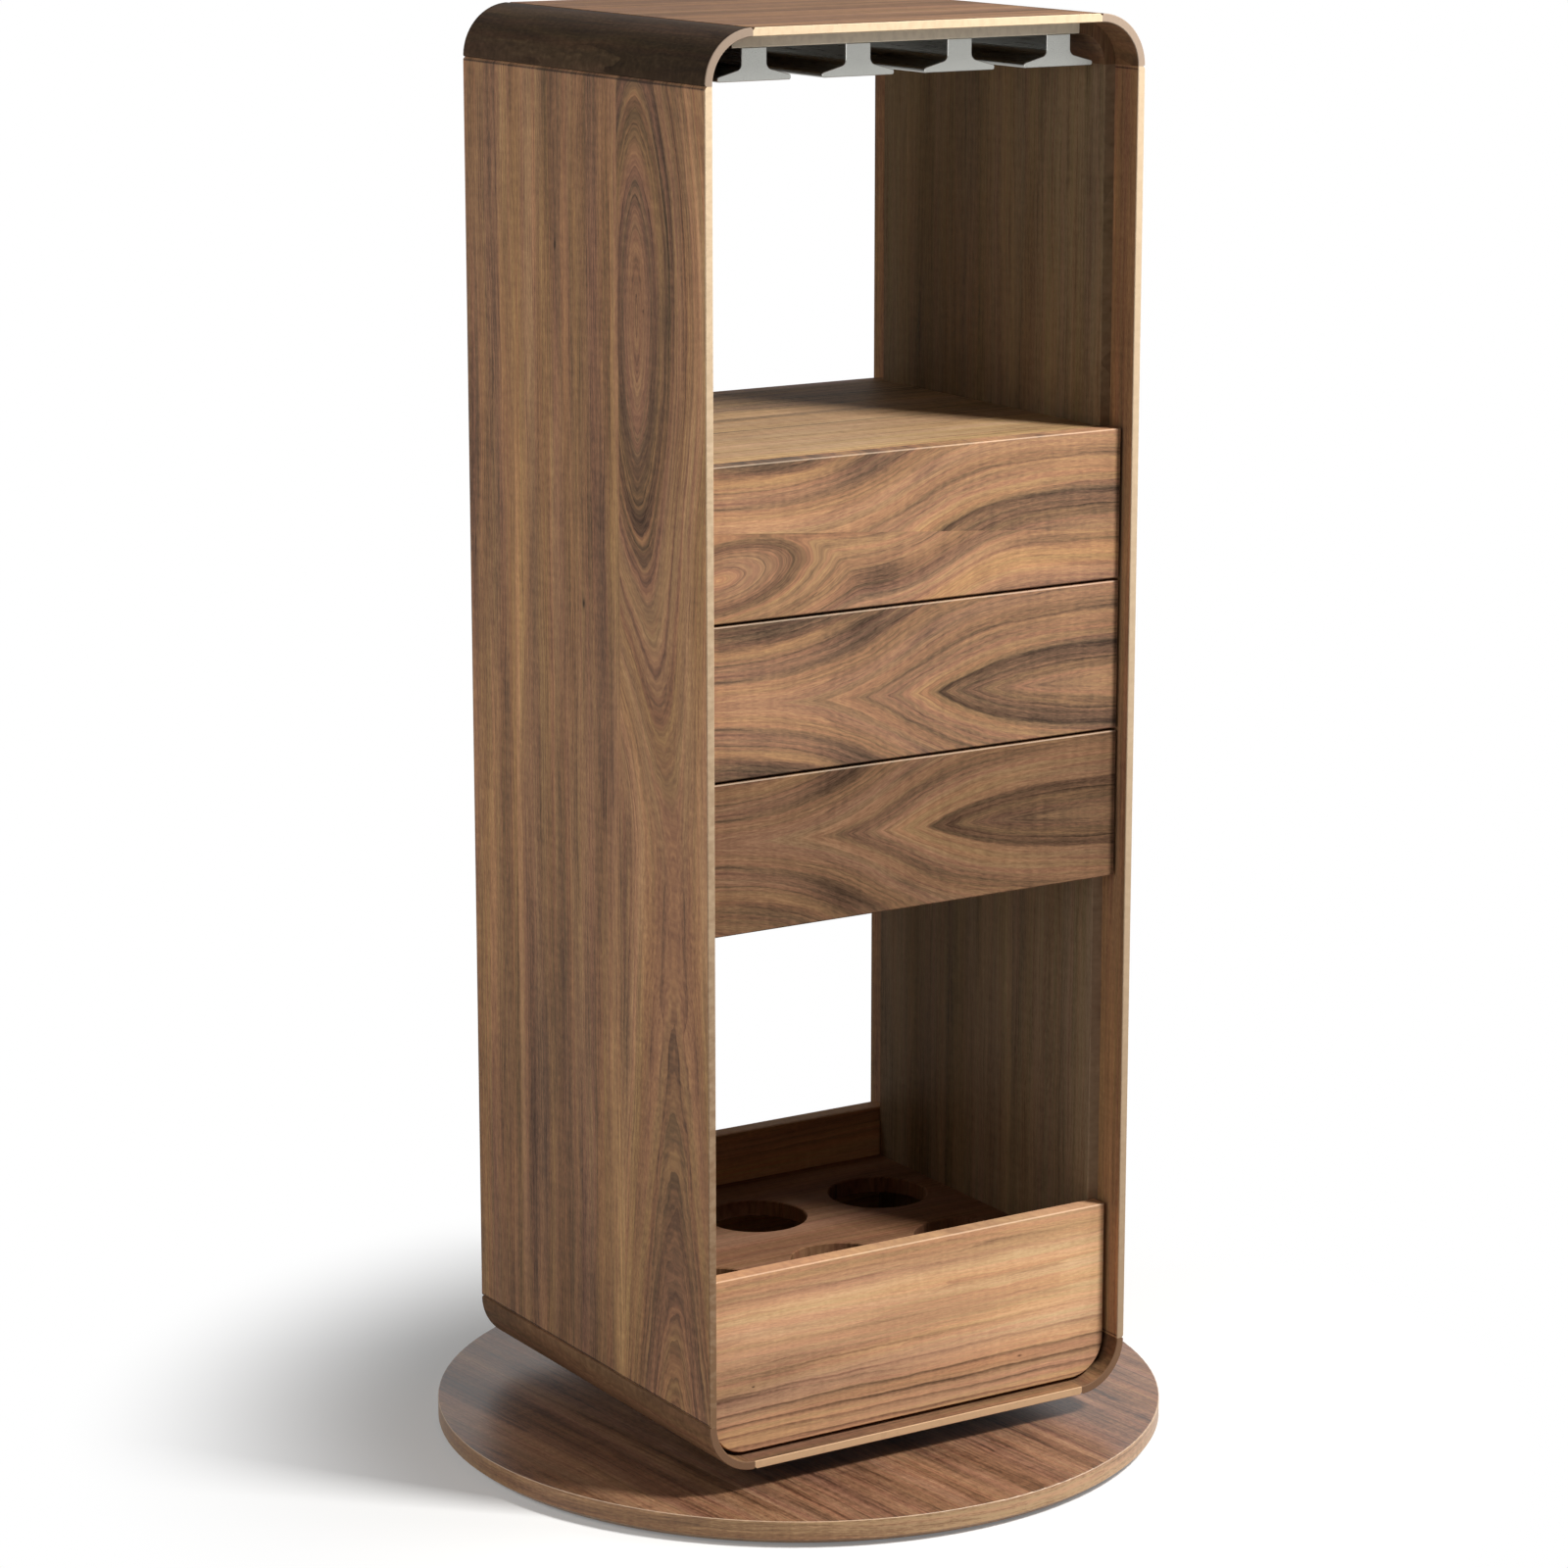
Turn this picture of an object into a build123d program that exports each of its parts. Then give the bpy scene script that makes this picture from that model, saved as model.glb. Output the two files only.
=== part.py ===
from build123d import *
from math import hypot
import os

# Bar cabinet that turns on a round base. Millimetres, +Z up, the front faces -Y.
# The origin is the centre of the footprint, on the floor.

# Base and swivel
BASE_DIAMETER = 680.0
BASE_THICKNESS = 22.0
BASE_ARRIS = 1.0
BASE_UNDERCUT_HEIGHT = 5.0
BASE_UNDERCUT_WIDTH = 6.0
GLIDE_HEIGHT = 3.0
GLIDE_DIAMETER = 34.0
GLIDE_COUNT = 8
GLIDE_EDGE_INSET = 44.0
SWIVEL_HEIGHT = 22.5
PLATE_SIZE = 260.0
PLATE_CORNER = 14.0
PLATE_THICKNESS = 2.5
PLATE_SCREW_INSET = 18.0
DISH_RADIUS = 106.0
DISH_GAP = 3.5
RACE_RADIUS = 90.0
BALL_RADIUS = 4.0
BALL_COUNT = 24
BALL_CLEARANCE = 0.1
CAGE_THICKNESS = 1.2
CAGE_WIDTH = 20.0
PIVOT_RADIUS = 6.0
PIVOT_HEAD_RADIUS = 11.0
PIVOT_HEAD_HEIGHT = 3.0
PIVOT_END_PLAY = 0.3
ASSEMBLY_HOLE_RADIUS = 7.0

# Shell: thin outer panels and solid corners round a thicker inner ring
CABINET_WIDTH = 450.0
CABINET_DEPTH = 420.0
SHELL_HEIGHT = 1265.5
CORNER_RADIUS = 47.0
SKIN = 7.5
LINER = 11.5
SETBACK = 34.0
PANEL_JOINT_CHAMFER = 2.2
CORNER_JOINT_ROUND = 2.5
ARRIS = 0.6
INNER_ARRIS = 0.8

# Drawer block
BLOCK_LIFT = 488.5
DRAWER_COUNT = 3
FRONT_HEIGHT = 135.0
FRONT_GAP = 2.5
FRONT_SIDE_GAP = 2.5
FRONT_THICKNESS = 18.0
FRONT_ARRIS = 1.0
PUSH_GAP = 3.0
SHELF_THICKNESS = 16.0
BACK_THICKNESS = 18.0

# Drawer boxes
BOX_BOTTOM_GAP = 6.0
BOX_TOP_GAP = 5.0
BOX_SIDE = 12.0
BOX_REAR_INSET = 8.5
BOX_BACK_INSET = 4.0
BOTTOM_LIFT = 10.0
BOTTOM_THICKNESS = 6.0
HOUSING_DEPTH = 6.0
DADO_DEPTH = 5.0
GLUE_GAP = 0.1

# Ball runners, one pair a drawer
RUNNER_WIDTH = 10.0
RUNNER_HEIGHT = 27.0
RUNNER_LIFT = 30.0
RUNNER_FRONT_INSET = 3.0
RUNNER_REAR_ROOM = 49.0
RUNNER_SHEET = 1.3
RUNNER_FLANGE = 2.0
RUNNER_REACH = 8.4
INNER_RAIL_SHORTER = 35.0
INNER_RAIL_START = 3.0
RUNNER_TRACK_GAP = 2.0
RUNNER_BALL_RADIUS = 1.6
RUNNER_BALL_X = 5.6
RUNNER_BALL_PITCH = 14.0
RUNNER_BALLS_IN_ROW = 4
STRIP_LENGTH = 60.0
STRIP_SHEET = 0.8
STRIP_END_PLAY = 1.0
CATCH_LENGTH = 34.0
CATCH_SKIN = 1.3
CATCH_PIN_RADIUS = 2.0
CATCH_PIN_INSET = 5.0
CATCH_SLOT_PLAY = 0.5
PUSH_TRAVEL = 2.5

# Bottle tray
TRAY_TOP_LIFT = 175.0
TRAY_THICKNESS = 18.0
TRAY_SIDE_GAP = 5.0
TRAY_BOTTOM_GAP = 3.5
TRAY_ARRIS = 1.0
BOTTLE_BOARD_DROP = 50.0
BOTTLE_HOLE_RADIUS = 47.5
BOTTLE_COLUMNS = 3
BOTTLE_ROW_PITCH = 149.0
BOTTLE_HOLE_ARRIS = 1.0

# Glass rails under the top
RAIL_COUNT = 4
GLASS_SLOT = 31.3
RAIL_SIDE_GAP = 13.65
RAIL_STEM = 25.0
RAIL_HEIGHT = 28.0
RAIL_FLANGE_ROOT = 10.5
RAIL_FLANGE_TIP = 4.2
RAIL_TIP_ROUND = 1.9
RAIL_ROOT_ROUND = 6.0
RAIL_ARRIS = 0.5

# Fasteners
DOWEL_RADIUS = 3.0
DOWEL_LENGTH = 24.0
DOWEL_IN_LINER = 8.0
DOWEL_INSET = 56.0
BACK_DOWEL_INSET = 60.0
TRAY_DOWEL_INSET = 30.0
RAIL_SCREW = (2.0, 4.0, 26.0)
PLATE_SCREW = (2.5, 5.0, 16.0)
RUNNER_SCREW = (1.7, 3.0, 9.5)
SCREW_FIT = 0.05
RAIL_SCREW_SPREAD = 130.0
RUNNER_SCREW_INSET = 33.0

# Places worked out from the sizes above
base_bottom = GLIDE_HEIGHT
base_top = base_bottom + BASE_THICKNESS
shell_bottom = base_top + SWIVEL_HEIGHT
shell_top = shell_bottom + SHELL_HEIGHT
half_width = CABINET_WIDTH / 2
half_depth = CABINET_DEPTH / 2
liner_front = half_depth - SETBACK
wall = SKIN + LINER
lip_inside = half_width - SKIN
inside = half_width - wall
liner_middle = inside + LINER / 2
joint_x = half_width - CORNER_RADIUS
joint_low = shell_bottom + CORNER_RADIUS
joint_high = shell_top - CORNER_RADIUS
floor_inside = shell_bottom + wall
ceiling = shell_top - wall
block_bottom_z = shell_bottom + BLOCK_LIFT
front_pitch = FRONT_HEIGHT + FRONT_GAP
block_top_z = block_bottom_z + DRAWER_COUNT * front_pitch - FRONT_GAP
box_lift = SHELF_THICKNESS + BOX_BOTTOM_GAP
box_height = FRONT_HEIGHT - SHELF_THICKNESS - BOX_TOP_GAP - box_lift
front_rear_face = -(liner_front + PUSH_GAP)
front_face = front_rear_face - FRONT_THICKNESS
tray_top = shell_bottom + TRAY_TOP_LIFT
tray_bottom = shell_bottom + SKIN + TRAY_BOTTOM_GAP
board_top = tray_top - BOTTLE_BOARD_DROP
race_z = base_top + SWIVEL_HEIGHT / 2
dowel_spread = liner_front - DOWEL_INSET
dowel_ys = (-dowel_spread, 0.0, dowel_spread)
shelf_zs = {
    "block_top": block_top_z - SHELF_THICKNESS / 2,
    "block_bottom": block_bottom_z + SHELF_THICKNESS / 2,
    "bottle_board": board_top - SHELF_THICKNESS / 2,
}

# How a round solid stands at its place: on it, or hanging from it
STANDING = (Align.CENTER, Align.CENTER, Align.MIN)
HANGING = (Align.CENTER, Align.CENTER, Align.MAX)

os.makedirs("parts", exist_ok=True)


def save(piece, name):
    """Label a finished piece and write it to its own file."""
    piece.part.label = name
    export_step(piece.part, f"parts/{name}.step")


def slab(x_range, y_range, z_range, mode=Mode.ADD):
    """A block between two places on each axis."""
    (x0, x1), (y0, y1), (z0, z1) = sorted(x_range), sorted(y_range), sorted(z_range)
    with Locations(((x0 + x1) / 2, (y0 + y1) / 2, (z0 + z1) / 2)):
        Box(x1 - x0, y1 - y0, z1 - z0, mode=mode)


def along_x(points):
    """Places whose own Z runs along X."""
    return [Location(point, (0, 90, 0)) for point in points]


def along_y(points):
    """Places whose own Z runs along Y."""
    return [Location(point, (90, 0, 0)) for point in points]


def dowels(places):
    """Round pins, centred on the places."""
    with Locations(*places):
        Cylinder(DOWEL_RADIUS, DOWEL_LENGTH)


def dowel_holes(places):
    """Holes for the dowels, with room for glue all round."""
    with Locations(*places):
        Cylinder(DOWEL_RADIUS + GLUE_GAP, DOWEL_LENGTH + 2 * GLUE_GAP, mode=Mode.SUBTRACT)


def screws(places, size, fit=0.0, mode=Mode.ADD):
    """Countersunk screws: head at each place, shank down its -Z."""
    shank, head, length = size
    for place in places:
        with Locations(place):
            Cylinder(shank + fit, length + fit, align=HANGING, mode=mode)
            Cone(shank + fit, head + fit, head - shank, align=HANGING, mode=mode)


def screw_holes(places, size):
    """Holes and countersinks that fit the screws."""
    screws(places, size, SCREW_FIT, Mode.SUBTRACT)


def outer_joint_edges(piece, x_side, z_side):
    """The two edges along Y that are furthest out on a shell corner."""
    lines = piece.edges().filter_by(Axis.Y)
    widest = lines.sort_by(Axis.X)[-1 if x_side > 0 else 0]
    furthest_up_or_down = lines.sort_by(Axis.Z)[-1 if z_side > 0 else 0]
    return [widest, furthest_up_or_down]


# Dowel places, one list for each kind of joint
joint_places = ((-1, joint_low, floor_inside - LINER / 2), (1, joint_high, ceiling + LINER / 2))
corner_dowels = {}
for x_side in (-1, 1):
    for z_side, joint_z, ring_z in joint_places:
        upright = [Location((x_side * liner_middle, y, joint_z)) for y in dowel_ys]
        level = along_x([(x_side * joint_x, y, ring_z) for y in dowel_ys])
        corner_dowels[x_side, z_side] = (upright, level)

shelf_dowels = {}
for z in shelf_zs.values():
    for x_side in (-1, 1):
        x = x_side * (inside + DOWEL_IN_LINER - DOWEL_LENGTH / 2)
        shelf_dowels[z, x_side] = along_x([(x, y, z) for y in dowel_ys])

block_middle_z = (block_bottom_z + block_top_z) / 2
back_dowel_zs = [block_bottom_z + BACK_DOWEL_INSET, block_middle_z, block_top_z - BACK_DOWEL_INSET]
tray_dowel_zs = [joint_low + TRAY_DOWEL_INSET, tray_top - TRAY_DOWEL_INSET]
edge_dowels = {}
for x_side in (-1, 1):
    back_points = [(x_side * liner_middle, liner_front, z) for z in back_dowel_zs]
    tray_points = [(x_side * liner_middle, y, z) for y in (-liner_front, liner_front) for z in tray_dowel_zs]
    edge_dowels[x_side] = (along_y(back_points), along_y(tray_points))

with BuildPart() as panel_dowels:
    for upright, level in corner_dowels.values():
        dowels(upright + level)
    for places in shelf_dowels.values():
        dowels(places)
    for back_places, tray_places in edge_dowels.values():
        dowels(back_places + tray_places)
save(panel_dowels, "panel_dowels")

# Round base with its glides. Its one hole gives access to the upper plate's screws, each in its turn.
plate_half = PLATE_SIZE / 2
screw_offset = plate_half - PLATE_SCREW_INSET
plate_corners = [(x, y) for x in (-screw_offset, screw_offset) for y in (-screw_offset, screw_offset)]
lower_screws = [Location((x, y, base_top + PLATE_THICKNESS)) for x, y in plate_corners]
upper_screws = [Location((x, y, shell_bottom - PLATE_THICKNESS), (180, 0, 0)) for x, y in plate_corners]

with BuildPart() as base_disc:
    with BuildSketch(Plane.XZ):
        radius = BASE_DIAMETER / 2
        with BuildLine():
            Polyline(
                (0, base_bottom),
                (radius - BASE_UNDERCUT_WIDTH, base_bottom),
                (radius, base_bottom + BASE_UNDERCUT_HEIGHT),
                (radius, base_top),
                (0, base_top),
                close=True,
            )
        make_face()
    revolve(axis=Axis.Z)
    fillet(base_disc.edges().group_by(Axis.Z)[-1], BASE_ARRIS)
    with Locations((hypot(screw_offset, screw_offset), 0, base_top)):
        Cylinder(ASSEMBLY_HOLE_RADIUS, BASE_THICKNESS, align=HANGING, mode=Mode.SUBTRACT)
    screw_holes(lower_screws, PLATE_SCREW)
save(base_disc, "base_disc")

with BuildPart() as base_glides:
    with PolarLocations(BASE_DIAMETER / 2 - GLIDE_EDGE_INSET, GLIDE_COUNT):
        Cylinder(GLIDE_DIAMETER / 2, GLIDE_HEIGHT, align=STANDING)
save(base_glides, "base_glides")


# Swivel bearing: two pressed plates, a ball race between them and a riveted pivot
def swivel_plate(seat_z, inward, name, pivot_fit, screw_places):
    """A square plate with a round dish that carries half of the ball race."""
    dish_face = race_z - inward * DISH_GAP / 2
    dish_back = dish_face - inward * PLATE_THICKNESS
    with BuildPart() as plate:
        with BuildSketch(Plane.XY.offset(min(seat_z, seat_z + inward * PLATE_THICKNESS))):
            RectangleRounded(PLATE_SIZE, PLATE_SIZE, PLATE_CORNER)
            Circle(DISH_RADIUS - PLATE_THICKNESS, mode=Mode.SUBTRACT)
        extrude(amount=PLATE_THICKNESS)
        with BuildSketch(Plane.XZ):
            with BuildLine():
                Polyline(
                    (0, dish_face),
                    (DISH_RADIUS, dish_face),
                    (DISH_RADIUS, seat_z),
                    (DISH_RADIUS - PLATE_THICKNESS, seat_z),
                    (DISH_RADIUS - PLATE_THICKNESS, dish_back),
                    (0, dish_back),
                    close=True,
                )
            make_face()
        revolve(axis=Axis.Z)
        with BuildSketch(Plane.XZ):
            with Locations((RACE_RADIUS, race_z)):
                Circle(BALL_RADIUS + BALL_CLEARANCE + PLATE_THICKNESS)
            with Locations((RACE_RADIUS, dish_face)):
                away = Align.MAX if inward > 0 else Align.MIN
                Rectangle(DISH_RADIUS, DISH_RADIUS, align=(Align.CENTER, away), mode=Mode.INTERSECT)
        revolve(axis=Axis.Z)
        with BuildSketch(Plane.XZ):
            with Locations((RACE_RADIUS, race_z)):
                Circle(BALL_RADIUS + BALL_CLEARANCE)
        revolve(axis=Axis.Z, mode=Mode.SUBTRACT)
        with Locations((0, 0, race_z)):
            Cylinder(PIVOT_RADIUS + pivot_fit, SWIVEL_HEIGHT, mode=Mode.SUBTRACT)
        screw_holes(screw_places, PLATE_SCREW)
    save(plate, name)


swivel_plate(base_top, 1, "swivel_lower_plate", SCREW_FIT, lower_screws)
swivel_plate(shell_bottom, -1, "swivel_upper_plate", BALL_CLEARANCE, upper_screws)

with BuildPart() as swivel_balls:
    with Locations((0, 0, race_z)):
        with PolarLocations(RACE_RADIUS, BALL_COUNT):
            Sphere(BALL_RADIUS)
save(swivel_balls, "swivel_balls")

with BuildPart() as swivel_ball_cage:
    with BuildSketch(Plane.XY.offset(race_z - CAGE_THICKNESS / 2)):
        Circle(RACE_RADIUS + CAGE_WIDTH / 2)
        Circle(RACE_RADIUS - CAGE_WIDTH / 2, mode=Mode.SUBTRACT)
        with PolarLocations(RACE_RADIUS, BALL_COUNT):
            Circle(BALL_RADIUS + BALL_CLEARANCE, mode=Mode.SUBTRACT)
    extrude(amount=CAGE_THICKNESS)
save(swivel_ball_cage, "swivel_ball_cage")

with BuildPart() as swivel_pivot:
    lower_web = race_z - DISH_GAP / 2 - PLATE_THICKNESS
    upper_web = race_z + DISH_GAP / 2 + PLATE_THICKNESS + PIVOT_END_PLAY
    with Locations((0, 0, lower_web - PIVOT_HEAD_HEIGHT)):
        Cylinder(PIVOT_HEAD_RADIUS, PIVOT_HEAD_HEIGHT, align=STANDING)
        Cylinder(PIVOT_RADIUS, upper_web - lower_web + PIVOT_HEAD_HEIGHT, align=STANDING)
    with Locations((0, 0, upper_web)):
        Cylinder(PIVOT_HEAD_RADIUS, PIVOT_HEAD_HEIGHT, align=STANDING)
save(swivel_pivot, "swivel_pivot")

with BuildPart() as lower_plate_screws:
    screws(lower_screws, PLATE_SCREW)
save(lower_plate_screws, "lower_plate_screws")

with BuildPart() as upper_plate_screws:
    screws(upper_screws, PLATE_SCREW)
save(upper_plate_screws, "upper_plate_screws")

# Outer side panels
side_names = {-1: "left", 1: "right"}
for x_side, side_name in side_names.items():
    with BuildPart() as side_panel:
        slab((x_side * lip_inside, x_side * half_width), (-half_depth, half_depth), (joint_low, joint_high))
        outer_face = side_panel.faces().sort_by(Axis.X)[-1 if x_side > 0 else 0]
        chamfer(outer_face.edges().filter_by(Axis.Y), PANEL_JOINT_CHAMFER)
        chamfer(side_panel.edges().filter_by(Axis.Z), ARRIS)
    save(side_panel, f"side_panel_{side_name}")

# Outer top and bottom panels
with BuildPart() as top_panel:
    slab((-joint_x, joint_x), (-half_depth, half_depth), (shell_top - SKIN, shell_top))
    chamfer(top_panel.faces().sort_by(Axis.Z)[-1].edges().filter_by(Axis.Y), PANEL_JOINT_CHAMFER)
    chamfer(top_panel.edges().filter_by(Axis.X), ARRIS)
save(top_panel, "top_panel")

with BuildPart() as bottom_panel:
    slab((-joint_x, joint_x), (-half_depth, half_depth), (shell_bottom, shell_bottom + SKIN))
    chamfer(bottom_panel.faces().sort_by(Axis.Z)[0].edges().filter_by(Axis.Y), PANEL_JOINT_CHAMFER)
    chamfer(bottom_panel.edges().filter_by(Axis.X), ARRIS)
    screw_holes(upper_screws, PLATE_SCREW)
save(bottom_panel, "bottom_panel")

# Solid corners: a thin lip at the front and rear, the full wall between them
for (x_side, z_side), (upright, level) in corner_dowels.items():
    joint_z = joint_high if z_side > 0 else joint_low
    quarter = (Align.MIN if x_side > 0 else Align.MAX, Align.MIN if z_side > 0 else Align.MAX)
    with BuildPart() as corner:
        for thickness, reach in ((SKIN, half_depth), (wall, liner_front)):
            with BuildSketch(Plane.XZ):
                with Locations((x_side * joint_x, joint_z)):
                    Circle(CORNER_RADIUS)
                    Circle(CORNER_RADIUS - thickness, mode=Mode.SUBTRACT)
                    Rectangle(CORNER_RADIUS, CORNER_RADIUS, align=quarter, mode=Mode.INTERSECT)
            extrude(amount=reach, both=True)
        arcs = corner.edges().filter_by(GeomType.CIRCLE)
        chamfer(arcs.group_by(Axis.Y)[0] + arcs.group_by(Axis.Y)[-1], ARRIS)
        fillet(outer_joint_edges(corner, x_side, z_side), CORNER_JOINT_ROUND)
        dowel_holes(upright + level)
    save(corner, f"corner_{'top' if z_side > 0 else 'bottom'}_{side_names[x_side]}")

# Ball runners: rail along Y, with its own X from the liner towards the drawer
runner_front = -liner_front + RUNNER_FRONT_INSET
runner_rear = liner_front - RUNNER_REAR_ROOM
inner_rail_front = front_rear_face + RUNNER_FRONT_INSET
inner_rail_rear = inner_rail_front + (runner_rear - runner_front) - INNER_RAIL_SHORTER
drawer_travel = inner_rail_rear - runner_front - STRIP_LENGTH - 2 * STRIP_END_PLAY
strip_front = runner_front + STRIP_END_PLAY + drawer_travel / 2
print("drawer travel", drawer_travel, "push travel", -PUSH_TRAVEL)

track_outer = RUNNER_HEIGHT / 2 - RUNNER_FLANGE
track_inner = track_outer - RUNNER_TRACK_GAP
track_middle = (track_outer + track_inner) / 2
drawer_bottoms = [block_bottom_z + number * front_pitch for number in reversed(range(DRAWER_COUNT))]
runner_zs = [bottom + box_lift + RUNNER_LIFT for bottom in drawer_bottoms]
outer_screw_ys = (runner_front + RUNNER_SCREW_INSET, runner_rear - CATCH_LENGTH - RUNNER_SCREW_INSET)
inner_screw_ys = (inner_rail_front + RUNNER_SCREW_INSET, inner_rail_rear - RUNNER_SCREW_INSET)


def from_liner(x_side, distance):
    """The X at this distance from an inner side panel, towards the middle."""
    return x_side * (inside - distance)


def screw_turn(x_side):
    """The turn that points a screw's head towards the middle of the cabinet."""
    return (0, -90 * x_side, 0)


def outer_rail_screws(x_side):
    """Screws through the outer rails of one side into the inner side panel."""
    x = from_liner(x_side, RUNNER_SHEET)
    return [Location((x, y, z), screw_turn(x_side)) for z in runner_zs for y in outer_screw_ys]


def inner_rail_screws(x_side, z):
    """Screws through one inner rail into the side of its drawer."""
    x = from_liner(x_side, RUNNER_WIDTH - RUNNER_SHEET)
    return [Location((x, y, z), screw_turn(-x_side)) for y in inner_screw_ys]


with BuildPart() as runner_screws:
    for x_side in side_names:
        screws(outer_rail_screws(x_side), RUNNER_SCREW)
save(runner_screws, "runner_screws")

runner_middle = (runner_front + runner_rear) / 2
runner_length = runner_rear - runner_front
with BuildPart() as runner_outer_rails:
    for x_side in side_names:
        web = (from_liner(x_side, 0), from_liner(x_side, RUNNER_SHEET))
        flange = (from_liner(x_side, 0), from_liner(x_side, RUNNER_REACH))
        rail_y = (runner_front, runner_rear)
        for z in runner_zs:
            slab(web, rail_y, (z - RUNNER_HEIGHT / 2, z + RUNNER_HEIGHT / 2))
            for z_side in (-1, 1):
                slab(flange, rail_y, (z + z_side * track_outer, z + z_side * RUNNER_HEIGHT / 2))
                groove = (from_liner(x_side, RUNNER_BALL_X), runner_middle, z + z_side * track_middle)
                with Locations(*along_y([groove])):
                    Cylinder(RUNNER_BALL_RADIUS + BALL_CLEARANCE, runner_length, mode=Mode.SUBTRACT)
        screw_holes(outer_rail_screws(x_side), RUNNER_SCREW)
save(runner_outer_rails, "runner_outer_rails")

# Push catches in the rear end of the outer rails
catch_front = runner_rear - CATCH_LENGTH
catch_pin_y = catch_front + CATCH_PIN_INSET + CATCH_PIN_RADIUS
catch_slot_floor = RUNNER_SHEET + CATCH_SKIN
catch_slot_half = CATCH_PIN_RADIUS + CATCH_SLOT_PLAY
catch_slot_end = catch_pin_y + PUSH_TRAVEL + catch_slot_half
with BuildPart() as push_catches:
    for x_side in side_names:
        body_x = (from_liner(x_side, RUNNER_SHEET), from_liner(x_side, RUNNER_REACH))
        slot_x = (from_liner(x_side, catch_slot_floor), from_liner(x_side, RUNNER_REACH))
        for z in runner_zs:
            slot_z = (z - catch_slot_half, z + catch_slot_half)
            slab(body_x, (catch_front, runner_rear), (z - track_outer, z + track_outer))
            slab(slot_x, (catch_front, catch_slot_end), slot_z, Mode.SUBTRACT)
save(push_catches, "push_catches")

# Inner side panels that carry the shelves, the fronts and the runners
for x_side, side_name in side_names.items():
    back_places, tray_places = edge_dowels[x_side]
    with BuildPart() as liner:
        slab((x_side * inside, x_side * lip_inside), (-liner_front, liner_front), (joint_low, joint_high))
        inner_face = liner.faces().sort_by(Axis.X)[0 if x_side > 0 else -1]
        chamfer(inner_face.edges().filter_by(Axis.Z), INNER_ARRIS)
        for z_side in (-1, 1):
            dowel_holes(corner_dowels[x_side, z_side][0])
        for (z, place_side), places in shelf_dowels.items():
            if place_side == x_side:
                dowel_holes(places)
        dowel_holes(back_places + tray_places)
        screw_holes(outer_rail_screws(x_side), RUNNER_SCREW)
    save(liner, f"liner_{side_name}")

# Inner top and bottom
rail_width = (2 * inside - 2 * RAIL_SIDE_GAP - (RAIL_COUNT - 1) * GLASS_SLOT) / RAIL_COUNT
rail_pitch = rail_width + GLASS_SLOT
rail_xs = [rail_pitch * (number - (RAIL_COUNT - 1) / 2) for number in range(RAIL_COUNT)]
rail_screw_ys = (-RAIL_SCREW_SPREAD, 0.0, RAIL_SCREW_SPREAD)
rail_screws = [Location((x, y, ceiling + LINER)) for x in rail_xs for y in rail_screw_ys]

with BuildPart() as inner_top:
    slab((-joint_x, joint_x), (-liner_front, liner_front), (ceiling, ceiling + LINER))
    chamfer(inner_top.faces().sort_by(Axis.Z)[0].edges().filter_by(Axis.X), INNER_ARRIS)
    for x_side in side_names:
        dowel_holes(corner_dowels[x_side, 1][1])
    screw_holes(rail_screws, RAIL_SCREW)
save(inner_top, "inner_top")

with BuildPart() as inner_bottom:
    slab((-joint_x, joint_x), (-liner_front, liner_front), (floor_inside - LINER, floor_inside))
    chamfer(inner_bottom.faces().sort_by(Axis.Z)[-1].edges().filter_by(Axis.X), INNER_ARRIS)
    for x_side in side_names:
        dowel_holes(corner_dowels[x_side, -1][1])
    screw_holes(upper_screws, PLATE_SCREW)
save(inner_bottom, "inner_bottom")

# Glass rails: T-sections that hang stemmed glasses by the foot
for number, x in enumerate(rail_xs, start=1):
    with BuildPart() as glass_rail:
        with BuildSketch(Plane.XZ):
            with BuildLine():
                Polyline(
                    (x, ceiling),
                    (x + RAIL_STEM / 2, ceiling),
                    (x + RAIL_STEM / 2, ceiling - RAIL_HEIGHT + RAIL_FLANGE_ROOT),
                    (x + rail_width / 2, ceiling - RAIL_HEIGHT + RAIL_FLANGE_TIP),
                    (x + rail_width / 2, ceiling - RAIL_HEIGHT),
                    (x, ceiling - RAIL_HEIGHT),
                    close=True,
                )
            section = make_face()
            mirror(section, about=Plane.YZ.offset(x))
        extrude(amount=liner_front, both=True)
        long_edges = glass_rail.edges().filter_by(Axis.Y)
        tips = long_edges.group_by(Axis.X)[0] + long_edges.group_by(Axis.X)[-1]
        fillet(tips, RAIL_TIP_ROUND)
        roots = glass_rail.edges().filter_by(Axis.Y).group_by(Axis.Z)[-2]
        fillet(roots, RAIL_ROOT_ROUND)
        ends = glass_rail.faces().filter_by(Axis.Y)
        chamfer(ends.edges(), RAIL_ARRIS)
        screw_holes(rail_screws, RAIL_SCREW)
    save(glass_rail, f"glass_rail_{number}")

with BuildPart() as glass_rail_screws:
    screws(rail_screws, RAIL_SCREW)
save(glass_rail_screws, "glass_rail_screws")

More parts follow.
